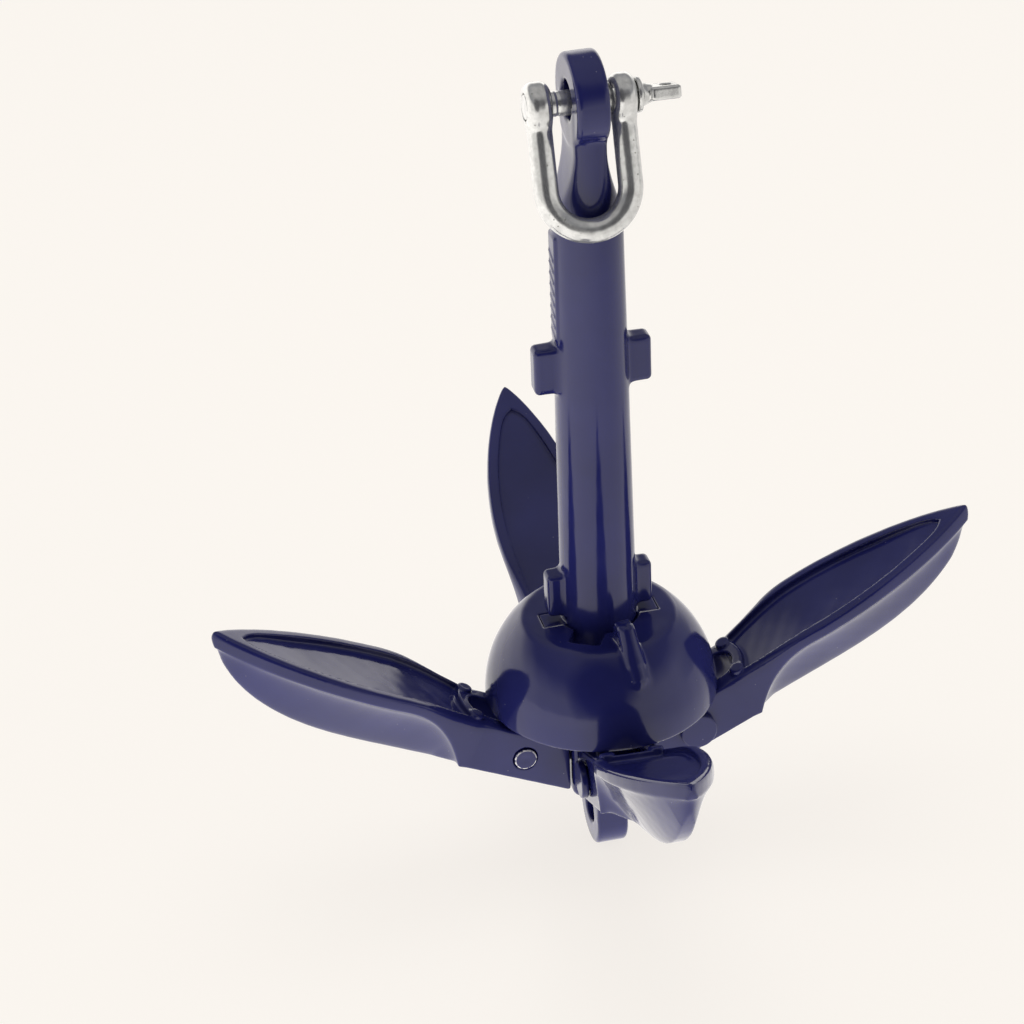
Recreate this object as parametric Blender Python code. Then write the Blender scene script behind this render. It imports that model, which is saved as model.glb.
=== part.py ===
"""Folding grapnel anchor: a cast shank, four hinged flukes on rivets, a sliding bell collar that
locks them open, and a screw-pin shackle.

Metres, +Z up along the shank. The origin is the lowest point of the lower eye, on the shank's
axis. The flukes lie along +X, +Y, -X and -Y. They are modelled open, with the collar down on them.
"""
import math

import bmesh
import bpy
from mathutils import Matrix, Vector

GAP = 0.0003                      # clearance between pieces that touch

# Shank: a round bar that tapers towards the upper eye
SHANK_LOW_RADIUS = 0.01245
SHANK_HIGH_RADIUS = 0.01145
SHANK_LOW_Z = 0.112
SHANK_HIGH_Z = 0.228
NECK_Z = 0.262                    # where the bar has become as thin as the upper eye
NECK_HALF_WIDTH = 0.0100

# Upper eye, for the shackle
EYE_RADIUS = 0.0146
EYE_Z = 0.2754
EYE_HALF_THICKNESS = 0.0053
EYE_HOLE_RADIUS = 0.0062
EYE_EDGE = 0.0010                 # rounding of the eyes' edges

# Lower eye, for a tripping line
LOWER_EYE_RADIUS = 0.0120
LOWER_EYE_HOLE_RADIUS = 0.0053
LOWER_EYE_HOLE_Z = 0.0130

# Lugs on the shank: two above, which stop the raised collar, and two that hold it down
LUG_HALF_THICKNESS = 0.0038
LUG_EDGE = 0.0015
UPPER_LUG_REACH = 0.0192
UPPER_LUG_Z = (0.1760, 0.1920)
LOWER_LUG_REACH = 0.0177
LOWER_LUG_Z = (0.0930, 0.1085)
FOOT_SIZE = (0.0039, 0.0193)      # half thickness and reach of the feet that fill the narrow notches
FOOT_Z = (0.0850, 0.0903)

# Hub: a square core with four tongues that carry the rivets
CORE_HALF_WIDTH = 0.0135
CORE_Z = (0.0260, 0.0600)
CORE_EDGE = 0.0025
PIVOT_RADIUS = 0.0297
PIVOT_Z = 0.0456
TONGUE_HALF_THICKNESS = 0.0053
TONGUE_END_RADIUS = 0.0072
TONGUE_HALF_HEIGHT = 0.0085

# Rivets
RIVET_RADIUS = 0.0038
RIVET_HEAD_RADIUS = 0.0063
RIVET_HEAD_THICKNESS = 0.0024

# Fluke, in a frame that starts at its rivet: u runs out along the blade, v is square to it
BLADE_ANGLE = math.radians(25.0)
BLADE_LENGTH = 0.1154
BLADE_HALF_WIDTH = 0.0173
BLADE_WIDEST_U = 0.054
BLADE_TOP = 0.0142                # height of the rim at its widest
BLADE_RISE = 0.018                # and how much it rises for each metre beyond that
POINT_TOP = 0.0153
BLADE_DEPTH = 0.0267
BLADE_CREASE = 0.0100
RIM_WIDTH = 0.0039
RECESS_DEPTH = 0.0033
KEEL_HALF_WIDTH = 0.0034
ARM_HALF_WIDTH = 0.0120
ARM_TOP = 0.0090
ARM_BOTTOM = -0.0082
ARM_EDGE = 0.0012
HEEL_U = 0.0214                   # where the arm's flat sides end
TAIL_U = -0.0170
FORK_HALF_WIDTH = 0.0058
FORK_END_U = 0.0160
BOSS_U = 0.0215
BOSS_Y = 0.0081
BOSS_RADIUS = 0.0026
BOSS_HEIGHT = 0.0010

# Collar: a hollow half ball with a flat top
COLLAR_RADIUS = 0.0387
COLLAR_CENTRE_Z = 0.0613
COLLAR_RIM_Z = 0.0605
COLLAR_TOP_Z = 0.0905
COLLAR_WALL = 0.0050
COLLAR_BORE_RADIUS = 0.0130
SLOT_SIZE = (0.0051, 0.0197)      # half width and reach of the notch pair the lugs pass
SLOT_ANGLE = math.radians(-119.0)
NARROW_SLOT_SIZE = (0.0042, 0.0196)
FIN_ANGLE = math.radians(-81.0)
FIN_HALF_WIDTH = 0.0028

# Shackle: it leans a little sideways in the eye, and its bow rests against the shank's front
SHACKLE_LEAN = math.radians(1.3)
SHACKLE_SHIFT = -0.0012           # along its pin, which is loose in the eye
SHACKLE_TILT = math.radians(23.5)
SHACKLE_PIN_Z = 0.2743
BOW_REACH = 0.0395                # pin axis to the bow's middle line
BOW_HALF_SPAN = 0.0133
BOW_RADIUS = 0.0039
EAR_RADIUS = 0.0075
EAR_HALF_WIDTH = 0.0040
SHACKLE_PIN_RADIUS = 0.00395
PIN_FLANGE_RADIUS = 0.0056
PIN_TAB_TURN = math.radians(16.0)

NAVY = (0.028, 0.034, 0.135)
ZINC = (0.62, 0.63, 0.62)

# Where each fluke points. The front one is cast a little off square.
QUARTERS = {"right": 0.6, "back": 90.0, "left": 180.7, "front": -92.3}


def clear_scene():
    for thing in list(bpy.data.objects):
        bpy.data.objects.remove(thing)


def make_material(name, colour, roughness, metallic):
    material = bpy.data.materials.new(name)
    material.use_nodes = True
    shader = material.node_tree.nodes["Principled BSDF"]
    shader.inputs["Base Color"].default_value = (*colour, 1.0)
    shader.inputs["Roughness"].default_value = roughness
    shader.inputs["Metallic"].default_value = metallic
    return material


def make_object(name, shape):
    """Turn a bmesh into a linked object, with its faces pointing out."""
    bmesh.ops.recalc_face_normals(shape, faces=shape.faces)
    mesh = bpy.data.meshes.new(name)
    shape.to_mesh(mesh)
    shape.free()
    thing = bpy.data.objects.new(name, mesh)
    bpy.context.scene.collection.objects.link(thing)
    return thing


def loft(name, rings):
    """A closed solid through rings of equally many points, with a flat cap on each end."""
    shape = bmesh.new()
    loops = [[shape.verts.new(point) for point in ring] for ring in rings]
    for lower, upper in zip(loops, loops[1:]):
        for i in range(len(lower)):
            j = (i + 1) % len(lower)
            shape.faces.new((lower[i], lower[j], upper[j], upper[i]))
    shape.faces.new(list(reversed(loops[0])))
    shape.faces.new(loops[-1])
    return make_object(name, shape)


def turn(name, profile, axis, segments):
    """A solid turned about an axis. The profile lists (radius, height) from end to end."""
    frame = {"X": Matrix.Rotation(math.pi / 2, 4, "Y"),
             "Y": Matrix.Rotation(-math.pi / 2, 4, "X"),
             "Z": Matrix.Identity(4)}[axis]
    rings = []
    for radius, height in profile:
        angles = [2 * math.pi * k / segments for k in range(segments)]
        rings.append([frame @ Vector((radius * math.cos(a), radius * math.sin(a), height))
                      for a in angles])
    return loft(name, rings)


def rod(name, radius, low, high, axis, edge=0.0, segments=32):
    """A plain or edge-rounded cylinder along an axis through the origin."""
    if edge == 0.0:
        return turn(name, [(radius, low), (radius, high)], axis, segments)
    profile = [(radius - edge, low), (radius - 0.3 * edge, low + 0.3 * edge), (radius, low + edge),
               (radius, high - edge), (radius - 0.3 * edge, high - 0.3 * edge),
               (radius - edge, high)]
    return turn(name, profile, axis, segments)


def block(name, low, high, edge=0.0):
    """A box between two corners, with its edges rounded when edge is given."""
    shape = bmesh.new()
    bmesh.ops.create_cube(shape, size=1.0)
    low, high = Vector(low), Vector(high)
    for vert in shape.verts:
        vert.co = Vector([low[k] + (vert.co[k] + 0.5) * (high[k] - low[k]) for k in range(3)])
    if edge > 0.0:
        bmesh.ops.bevel(shape, geom=shape.edges[:], offset=edge, segments=2, profile=0.5,
                        affect="EDGES")
    return make_object(name, shape)


def prism(name, outline, axis, low, high):
    """A flat outline pushed along an axis, from low to high."""
    index = "XYZ".index(axis)

    def lift(point, height):
        values = list(point)
        values.insert(index, height)
        return Vector(values)

    return loft(name, [[lift(point, height) for point in outline] for height in (low, high)])


def place(thing, matrix):
    """Move an object's mesh, leaving the object at the origin."""
    thing.data.transform(matrix)
    return thing


def turned(thing, degrees):
    return place(thing, Matrix.Rotation(math.radians(degrees), 4, "Z"))


def combine(body, tools, operation):
    """Join the tools to the body, or cut them out of it, and remove the tools."""
    for tool in tools:
        modifier = body.modifiers.new(tool.name, "BOOLEAN")
        modifier.operation = operation
        modifier.solver = "EXACT"
        modifier.object = tool
    bpy.context.view_layer.update()
    graph = bpy.context.evaluated_depsgraph_get()
    solid = bpy.data.meshes.new_from_object(body.evaluated_get(graph))
    body.modifiers.clear()
    body.data = solid
    for tool in tools:
        bpy.data.objects.remove(tool)
    return body


def finish(thing, material, smooth_angle=35.0):
    """Give an object its material and smooth shading across its rounded parts."""
    thing.data.materials.clear()
    thing.data.materials.append(material)
    thing.data.shade_smooth()
    thing.data.set_sharp_from_angle(angle=math.radians(smooth_angle))
    return thing


def ease(value, start, end):
    """0 before start, 1 after end, and a smooth step between them."""
    t = min(max((value - start) / (end - start), 0.0), 1.0)
    return t * t * (3.0 - 2.0 * t)


def mix(a, b, t):
    return a + (b - a) * t


# Shank casting


def shank_radius(z):
    t = min(max((z - SHANK_LOW_Z) / (SHANK_HIGH_Z - SHANK_LOW_Z), 0.0), 1.0)
    return mix(SHANK_LOW_RADIUS, SHANK_HIGH_RADIUS, t)


def bar_ring(z, count=36):
    """The bar's outline at a height: round below, flattening to the eye's thickness above."""
    flat = ease(z, SHANK_HIGH_Z, NECK_Z - 0.004)
    half_x = mix(shank_radius(z), EYE_HALF_THICKNESS, flat)
    half_y = mix(shank_radius(z), NECK_HALF_WIDTH, flat)
    power = mix(1.0, 0.45, flat)
    ring = []
    for k in range(count):
        c = math.cos(2 * math.pi * k / count)
        s = math.sin(2 * math.pi * k / count)
        x = math.copysign(abs(c) ** power, c)
        y = math.copysign(abs(s) ** power, s)
        ring.append(Vector((half_x * x, half_y * y, z)))
    return ring


def make_bar():
    heights = [CORE_Z[1] - 0.008, SHANK_LOW_Z, 0.170, SHANK_HIGH_Z]
    heights += [0.234, 0.240, 0.246, 0.252, NECK_Z, EYE_Z - 0.010]
    return loft("bar", [bar_ring(z) for z in heights])


def make_upper_eye():
    eye = rod("upper_eye", EYE_RADIUS, -EYE_HALF_THICKNESS, EYE_HALF_THICKNESS, "X", EYE_EDGE, 40)
    return place(eye, Matrix.Translation((0.0, 0.0, EYE_Z)))


def make_lower_eye():
    """A tongue with a round lower end, flat on its two sides."""
    steps = 20
    outline = []
    for k in range(steps + 1):
        a = math.pi + math.pi * k / steps
        outline.append((LOWER_EYE_RADIUS * math.cos(a),
                        LOWER_EYE_RADIUS + LOWER_EYE_RADIUS * math.sin(a)))
    outline += [(LOWER_EYE_RADIUS, CORE_Z[0] + 0.004), (-LOWER_EYE_RADIUS, CORE_Z[0] + 0.004)]
    return prism("lower_eye", outline, "X", -EYE_HALF_THICKNESS, EYE_HALF_THICKNESS)


def make_tongue(name):
    """The ear that a fluke's fork straddles, along +X, with a round outer end."""
    outline = []
    steps = 12
    for k in range(steps + 1):
        a = -math.pi / 2 + math.pi * k / steps
        outline.append((PIVOT_RADIUS + TONGUE_END_RADIUS * math.cos(a),
                        PIVOT_Z + TONGUE_END_RADIUS * math.sin(a)))
    root = CORE_HALF_WIDTH - 0.004
    outline += [(root, PIVOT_Z + TONGUE_HALF_HEIGHT), (root, PIVOT_Z - TONGUE_HALF_HEIGHT)]
    return prism(name, outline, "Y", -TONGUE_HALF_THICKNESS, TONGUE_HALF_THICKNESS)


def make_lugs(name, reach, heights, half=LUG_HALF_THICKNESS, edge=LUG_EDGE):
    lugs = []
    for side in (-1, 1):
        near, far = sorted((side * 0.006, side * reach))
        lugs.append(block(f"{name}_{side}", (near, -half, heights[0]), (far, half, heights[1]), edge))
    return lugs


def make_shank(material):
    core = block("core", (-CORE_HALF_WIDTH, -CORE_HALF_WIDTH, CORE_Z[0]),
                 (CORE_HALF_WIDTH, CORE_HALF_WIDTH, CORE_Z[1]), CORE_EDGE)
    added = [core, make_upper_eye(), make_lower_eye()]
    added += make_lugs("upper_lug", UPPER_LUG_REACH, UPPER_LUG_Z)
    added += make_lugs("lower_lug", LOWER_LUG_REACH, LOWER_LUG_Z)
    added += make_lugs("foot", FOOT_SIZE[1], FOOT_Z, FOOT_SIZE[0], 0.0004)
    added += [turned(make_tongue(f"tongue_{name}"), angle) for name, angle in QUARTERS.items()]
    shank = combine(make_bar(), added, "UNION")

    upper_hole = place(rod("upper_hole", EYE_HOLE_RADIUS, -0.02, 0.02, "X"),
                       Matrix.Translation((0.0, 0.0, EYE_Z)))
    lower_hole = place(rod("lower_hole", LOWER_EYE_HOLE_RADIUS, -0.02, 0.02, "X"),
                       Matrix.Translation((0.0, 0.0, LOWER_EYE_HOLE_Z)))
    cutters = [upper_hole, lower_hole]
    for name, angle in QUARTERS.items():
        hole = rod(f"rivet_hole_{name}", RIVET_RADIUS + GAP, -0.008, 0.008, "Y", segments=24)
        place(hole, Matrix.Translation((PIVOT_RADIUS, 0.0, PIVOT_Z)))
        cutters.append(turned(hole, angle))
    combine(shank, cutters, "DIFFERENCE")
    shank.name = "shank"
    return finish(shank, material)


# Flukes and their rivets


def blade_half_width(u):
    """A leaf: it widens from the arm, and closes in a blunt point."""
    start = 0.018
    if u <= start:
        return ARM_HALF_WIDTH
    if u <= BLADE_WIDEST_U:
        t = (u - start) / (BLADE_WIDEST_U - start)
        return mix(ARM_HALF_WIDTH, BLADE_HALF_WIDTH, math.sin(t * math.pi / 2) ** 1.25)
    x = (u - BLADE_WIDEST_U) / (BLADE_LENGTH + 0.0004 - BLADE_WIDEST_U)
    return max(BLADE_HALF_WIDTH * (1.0 - x ** 1.93) ** 0.85, 0.0012)


def fluke_top(u):
    rise = BLADE_RISE * max(u - 0.052, 0.0)
    return mix(ARM_TOP, BLADE_TOP, ease(u, 0.008, 0.052)) + rise


def keel_height(u):
    """The keel is straight under the blade's root, and rises to the point in a long curve."""
    x = min(max((u - 0.045) / 0.0715, 0.0), 1.0)
    keel = POINT_TOP - BLADE_DEPTH * (1.0 - x ** 3) ** 0.8
    return mix(ARM_BOTTOM, keel, ease(u, HEEL_U, HEEL_U + 0.007))


def crease_height(u):
    """The line on the flank where the upper wall turns in: it drops to the heel at the arm."""
    t = min(max((u - HEEL_U) / 0.029, 0.0), 1.0)
    drop = (BLADE_CREASE - ARM_BOTTOM) * (1.0 - t) ** 2.45
    return min(BLADE_CREASE - drop, fluke_top(u) - 0.0025)


def fluke_section(u):
    """Half of the outline across the fluke at u, from the middle of the top to the keel."""
    width = blade_half_width(u)
    top = fluke_top(u)
    rim = min(RIM_WIDTH, 0.45 * width)
    depth = RECESS_DEPTH * ease(u, 0.0245, 0.031) * (1.0 - ease(u, 0.098, 0.106))
    edge = min(ARM_EDGE, 0.4 * width)
    upper = [(0.0, top - depth), (0.74 * (width - rim), top - 0.96 * depth), (width - rim, top),
             (width - edge, top), (width, top - edge)]
    arm = [(width, ARM_BOTTOM + ARM_EDGE), (width - ARM_EDGE, ARM_BOTTOM),
           (0.5 * width, ARM_BOTTOM), (0.0, ARM_BOTTOM)]
    keel = min(keel_height(u), top - 0.0024)
    crease = max(crease_height(u), mix(keel, top, 0.3))
    bottom = min(KEEL_HALF_WIDTH, 0.4 * width)
    bottom = mix(0.8 * width, bottom, ease(u, HEEL_U, HEEL_U + 0.013))
    blade = [(width, crease), (mix(bottom, width, 0.42), mix(keel, crease, 0.66)),
             (bottom, mix(keel, crease, 0.05)), (0.0, keel)]
    t = ease(u, HEEL_U, HEEL_U + 0.006)
    lower = [(mix(a[0], b[0], t), mix(a[1], b[1], t)) for a, b in zip(arm, blade)]
    return upper + lower


def fluke_ring(u, slant=0.0):
    half = fluke_section(u)
    outline = half + [(-y, v) for y, v in reversed(half[1:-1])]
    return [Vector((u + slant * v, y, v)) for y, v in outline]


def make_fluke_mesh():
    """One fluke in its own frame: the rivet's axis is Y, and u and v lie along X and Z."""
    stations = [-0.004, 0.012, HEEL_U, 0.0228, 0.0250, 0.0275, 0.031, 0.036, 0.043, 0.050, 0.059,
                0.068, 0.077, 0.085, 0.092, 0.098, 0.103, 0.107, 0.1105, 0.1135, BLADE_LENGTH]
    rings = [fluke_ring(TAIL_U, math.tan(BLADE_ANGLE))] + [fluke_ring(u) for u in stations]
    fluke = loft("fluke", rings)

    bosses = []
    for side in (-1, 1):
        boss = rod(f"boss_{side}", BOSS_RADIUS, 0.006, fluke_top(BOSS_U) + BOSS_HEIGHT, "Z", 0.0003, 16)
        bosses.append(place(boss, Matrix.Translation((BOSS_U, side * BOSS_Y, 0.0))))
    combine(fluke, bosses, "UNION")

    slot = [(-0.04, FORK_HALF_WIDTH), (-0.04, -FORK_HALF_WIDTH)]
    steps = 10
    for k in range(steps + 1):
        a = -math.pi / 2 + math.pi * k / steps
        slot.append((FORK_END_U + FORK_HALF_WIDTH * math.cos(a), FORK_HALF_WIDTH * math.sin(a)))
    cutters = [prism("fork", slot, "Z", -0.03, 0.03),
               rod("rivet_hole", RIVET_RADIUS + GAP, -0.02, 0.02, "Y", segments=24)]
    combine(fluke, cutters, "DIFFERENCE")
    mesh = fluke.data
    bpy.data.objects.remove(fluke)
    return mesh


def make_rivet_mesh():
    """A rivet along Y: its head bears on the fork's -Y side, and its tail is flush on the other."""
    face = ARM_HALF_WIDTH + GAP
    head_end = face + RIVET_HEAD_THICKNESS
    profile = [(RIVET_HEAD_RADIUS - 0.0006, -head_end), (RIVET_HEAD_RADIUS, -head_end + 0.0005),
               (RIVET_HEAD_RADIUS, -face), (RIVET_RADIUS, -face),
               (RIVET_RADIUS, face), (RIVET_RADIUS - 0.0003, face + 0.0003)]
    rivet = turn("rivet", profile, "Y", 24)
    mesh = rivet.data
    bpy.data.objects.remove(rivet)
    return mesh


def make_flukes(fluke_material, rivet_material):
    fluke_mesh = make_fluke_mesh()
    rivet_mesh = make_rivet_mesh()
    for name, degrees in QUARTERS.items():
        turn_out = Matrix.Rotation(math.radians(degrees), 4, "Z")
        pivot = turn_out @ Vector((PIVOT_RADIUS, 0.0, PIVOT_Z))
        fluke = bpy.data.objects.new(f"fluke_{name}", fluke_mesh)
        fluke.matrix_world = (Matrix.Translation(pivot) @ turn_out
                              @ Matrix.Rotation(-BLADE_ANGLE, 4, "Y"))
        rivet = bpy.data.objects.new(f"rivet_{name}", rivet_mesh)
        rivet.matrix_world = Matrix.Translation(pivot) @ turn_out
        for thing, material in ((fluke, fluke_material), (rivet, rivet_material)):
            bpy.context.scene.collection.objects.link(thing)
            finish(thing, material)


# Collar


def make_dome():
    """The bell's wall, turned about Z from its section: rim, outer ball, flat top, inner ball."""
    segments = 56
    outer_steps, inner_steps = 9, 6
    top_radius = math.sqrt(COLLAR_RADIUS ** 2 - (COLLAR_TOP_Z - COLLAR_CENTRE_Z) ** 2)
    section = []
    start = math.asin((COLLAR_RIM_Z - COLLAR_CENTRE_Z) / COLLAR_RADIUS)
    end = math.acos(top_radius / COLLAR_RADIUS)
    for k in range(outer_steps + 1):
        a = mix(start, end, k / outer_steps)
        section.append((COLLAR_RADIUS * math.cos(a), COLLAR_CENTRE_Z + COLLAR_RADIUS * math.sin(a)))
    section.append((COLLAR_BORE_RADIUS, COLLAR_TOP_Z))
    ceiling = COLLAR_TOP_Z - COLLAR_WALL - 0.001
    section.append((COLLAR_BORE_RADIUS, ceiling))
    inner = COLLAR_RADIUS - COLLAR_WALL
    end = math.asin((ceiling - COLLAR_CENTRE_Z) / inner)
    for k in range(inner_steps + 1):
        a = mix(end, start, k / inner_steps)
        section.append((inner * math.cos(a), COLLAR_CENTRE_Z + inner * math.sin(a)))
    shape = bmesh.new()
    loops = []
    for k in range(segments):
        a = 2 * math.pi * k / segments
        loops.append([shape.verts.new((r * math.cos(a), r * math.sin(a), z)) for r, z in section])
    for k in range(segments):
        here, after = loops[k], loops[(k + 1) % segments]
        for i in range(len(section)):
            j = (i + 1) % len(section)
            shape.faces.new((here[i], after[i], after[j], here[j]))
    return make_object("dome", shape)


def make_fin():
    """The thumb horn on the collar, in the XZ plane along +X: it stands up at the flat's edge and
    runs down into the ball."""
    outline = [(0.0165, COLLAR_TOP_Z - 0.002), (0.0172, COLLAR_TOP_Z + 0.0055),
               (0.0190, COLLAR_TOP_Z + 0.0082), (0.0218, COLLAR_TOP_Z + 0.0080),
               (0.0250, COLLAR_TOP_Z + 0.0056), (0.0300, COLLAR_TOP_Z - 0.0010),
               (0.0340, COLLAR_TOP_Z - 0.0098), (0.0315, COLLAR_TOP_Z - 0.0120),
               (0.0240, COLLAR_TOP_Z - 0.0040)]
    fin = prism("fin", outline, "Y", -FIN_HALF_WIDTH, FIN_HALF_WIDTH)
    return place(fin, Matrix.Rotation(FIN_ANGLE, 4, "Z"))


def make_collar(material):
    """The bell collar. Its bore has a notch pair at each of two angles: the lugs pass one pair when
    the collar is turned, and the other, filled by the shank's feet, lies under them."""
    collar = combine(make_dome(), [make_fin()], "UNION")
    slots = []
    for angle, (half, reach) in ((SLOT_ANGLE, SLOT_SIZE), (0.0, NARROW_SLOT_SIZE)):
        slot = block(f"slot_{len(slots)}", (-reach, -half, COLLAR_TOP_Z - 0.012),
                     (reach, half, COLLAR_TOP_Z + 0.004))
        slots.append(place(slot, Matrix.Rotation(angle, 4, "Z")))
    combine(collar, slots, "DIFFERENCE")
    place(collar, Matrix.Translation((0.0, 0.0, -COLLAR_TOP_Z)))
    collar.location = (0.0, 0.0, COLLAR_TOP_Z)
    collar.name = "collar"
    return finish(collar, material)


# Shackle


def shackle_frame():
    """The shackle's own frame at rest: X along its pin, -Z down its bow."""
    return (Matrix.Translation((0.0, 0.0, SHACKLE_PIN_Z)) @ Matrix.Rotation(SHACKLE_LEAN, 4, "Y")
            @ Matrix.Rotation(-SHACKLE_TILT, 4, "X") @ Matrix.Translation((SHACKLE_SHIFT, 0.0, 0.0)))


def make_bow(material):
    """A bar bent into a U, with a thick round ear on each end."""
    sides = 12
    straight = BOW_REACH - BOW_HALF_SPAN
    path = [(-BOW_HALF_SPAN, 0.0, 0.0), (-BOW_HALF_SPAN, 0.5 * straight, 0.0)]
    bends = 18
    for k in range(bends + 1):
        a = math.pi * k / bends
        path.append((-BOW_HALF_SPAN * math.cos(a), straight + BOW_HALF_SPAN * math.sin(a), a))
    path += [(BOW_HALF_SPAN, 0.5 * straight, math.pi), (BOW_HALF_SPAN, 0.0, math.pi)]
    rings = []
    for x, drop, heading in path:
        across = Vector((math.cos(heading), 0.0, math.sin(heading)))
        centre = Vector((x, 0.0, -drop))
        angles = [2 * math.pi * k / sides for k in range(sides)]
        rings.append([centre + BOW_RADIUS * (math.cos(a) * across + math.sin(a) * Vector((0, 1, 0)))
                      for a in angles])
    bow = loft("shackle_bow", rings)
    ears = []
    for side in (-1, 1):
        middle = side * BOW_HALF_SPAN
        ear = rod(f"ear_{side}", EAR_RADIUS, middle - EAR_HALF_WIDTH, middle + EAR_HALF_WIDTH,
                  "X", 0.0025, 28)
        ears.append(ear)
    combine(bow, ears, "UNION")
    hole = rod("pin_hole", SHACKLE_PIN_RADIUS + GAP, -0.03, 0.03, "X", segments=24)
    combine(bow, [hole], "DIFFERENCE")
    bow.matrix_world = shackle_frame()
    return finish(bow, material)


def make_shackle_pin(material):
    """A round pin with a flange, a cone and a flat tab with a hole for seizing wire."""
    ear_face = BOW_HALF_SPAN + EAR_HALF_WIDTH
    flange = ear_face + GAP
    profile = [(SHACKLE_PIN_RADIUS - 0.0006, -ear_face), (SHACKLE_PIN_RADIUS, -ear_face + 0.0006),
               (SHACKLE_PIN_RADIUS, flange), (PIN_FLANGE_RADIUS, flange),
               (PIN_FLANGE_RADIUS, flange + 0.0014), (0.0038, flange + 0.0040),
               (0.0024, flange + 0.0060), (0.0018, flange + 0.0080)]
    pin = turn("shackle_pin", profile, "X", 24)
    tab_start = flange + 0.0042
    tab = block("tab", (tab_start, -0.0042, -0.0022), (tab_start + 0.0096, 0.0042, 0.0022), 0.0007)
    combine(pin, [tab], "UNION")
    eyelet = place(rod("eyelet", 0.0021, -0.01, 0.01, "Z", segments=16),
                   Matrix.Translation((tab_start + 0.0056, 0.0, 0.0)))
    combine(pin, [eyelet], "DIFFERENCE")
    pin.matrix_world = (shackle_frame() @ Matrix.Rotation(SHACKLE_TILT - PIN_TAB_TURN, 4, "X"))
    return finish(pin, material)


def main():
    clear_scene()
    make_shank(make_material("shank_coating", NAVY, 0.22, 0.0))
    make_flukes(make_material("fluke_coating", NAVY, 0.22, 0.0),
                make_material("rivet_coating", NAVY, 0.25, 0.0))
    make_collar(make_material("collar_coating", NAVY, 0.2, 0.0))
    make_bow(make_material("bow_zinc", ZINC, 0.35, 1.0))
    make_shackle_pin(make_material("pin_zinc", ZINC, 0.4, 1.0))


main()
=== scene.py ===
"""The looks of a folding grapnel anchor: thick navy coating on smooth cast shapes, and a
galvanised screw-pin shackle.

Each piece is a solid described by a field, negative inside, in millimetres. The pieces are built
from a few rounded primitives that flow into each other, as the sand casting and its coating do.
"""
import math

import bpy
import numpy as np
from mathutils import Matrix, Vector


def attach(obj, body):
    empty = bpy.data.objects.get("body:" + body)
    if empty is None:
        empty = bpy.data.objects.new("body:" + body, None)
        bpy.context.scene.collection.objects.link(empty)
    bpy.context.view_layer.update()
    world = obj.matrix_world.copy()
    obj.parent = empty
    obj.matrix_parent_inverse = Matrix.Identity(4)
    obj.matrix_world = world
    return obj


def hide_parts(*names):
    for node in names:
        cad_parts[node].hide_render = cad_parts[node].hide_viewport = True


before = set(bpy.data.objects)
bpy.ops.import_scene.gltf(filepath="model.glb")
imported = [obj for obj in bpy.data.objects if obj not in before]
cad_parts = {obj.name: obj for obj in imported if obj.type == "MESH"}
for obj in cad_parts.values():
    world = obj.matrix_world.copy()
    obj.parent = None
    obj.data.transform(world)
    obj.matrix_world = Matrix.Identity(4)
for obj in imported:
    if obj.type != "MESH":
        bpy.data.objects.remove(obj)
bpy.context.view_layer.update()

MM = 0.001
TURNS = {"right": 0.6, "back": 90.0, "left": 180.7, "front": -92.3}    # flukes, degrees about Z

# Colours, linear
NAVY = (0.0125, 0.0145, 0.098)
DUST = (0.12, 0.12, 0.20)
# pale colour of the painted highlight ring on the rivets' plain-end rims
RIM_HIGHLIGHT = (0.80, 0.78, 0.78)
ZINC = (0.74, 0.745, 0.725)
PIT = (0.25, 0.25, 0.23)

# Grid steps, mm
SHANK_STEP = 0.62
COLLAR_STEP = 0.56
FLUKE_STEP = 0.50
SMALL_STEP = 0.30

# Shank
BAR_LOW = (112.0, 12.45)           # height, radius
BAR_HIGH = (228.0, 11.45)
NECK_TOP = 262.0
NECK_RADIUS = 10.2
EYE_Z = 275.4
EYE_RADIUS = 14.6
EYE_HALF = 5.3
EYE_HOLE = 6.2
FLAT_START = 238.0                 # the eye's flat sides run out into the round bar here
FLAT_FULL = 260.0
LOWER_EYE_RADIUS = 12.0
LOWER_HOLE = 5.3
LOWER_HOLE_Z = 13.0
LUG_HALF = 3.8
LUG_DRAFT = 0.035                  # slope of the lugs' sides, which are LUG_HALF at LUG_ROOT
LUG_ROOT = 12.0
UPPER_LUG = (19.2, 176.0, 192.0)   # reach, low, high
LOWER_LUG = (17.7, 93.0, 108.5)
FOOT = (3.9, 19.3, 85.0, 90.3)     # half thickness, reach, low, high
CORE_HALF = 13.5
CORE_Z = (26.0, 60.0)
PIVOT_X = 29.7
PIVOT_Z = 45.6
TONGUE_HALF = 5.3
TONGUE_END = 7.2
TONGUE_HALF_HEIGHT = 8.5
TONGUE_TAPER = 0.045
TONGUE_ROOT = 8.0
PANEL = (11.75, 3.9)               # from the axis to its face, half width
PANEL_Z = (193.0, 231.0)
RIB = (12.15, 2.7, 0.75)           # from the axis to its face, half width, half height
RIB_PITCH = 3.9
RIB_SLANT = 0.45
FIRST_RIB = 3.2                    # above the panel's low end
LAST_RIB = 7                       # counted from 0

# Rivets
RIVET_RADIUS = 3.8
HEAD_RADIUS = 6.3
HEAD_THICKNESS = 2.4
DIMPLE = (5.7, 5.6)                # from the plain end's face to its centre, radius
GAP = 0.3                          # running gap of every pin in its hole

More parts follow.
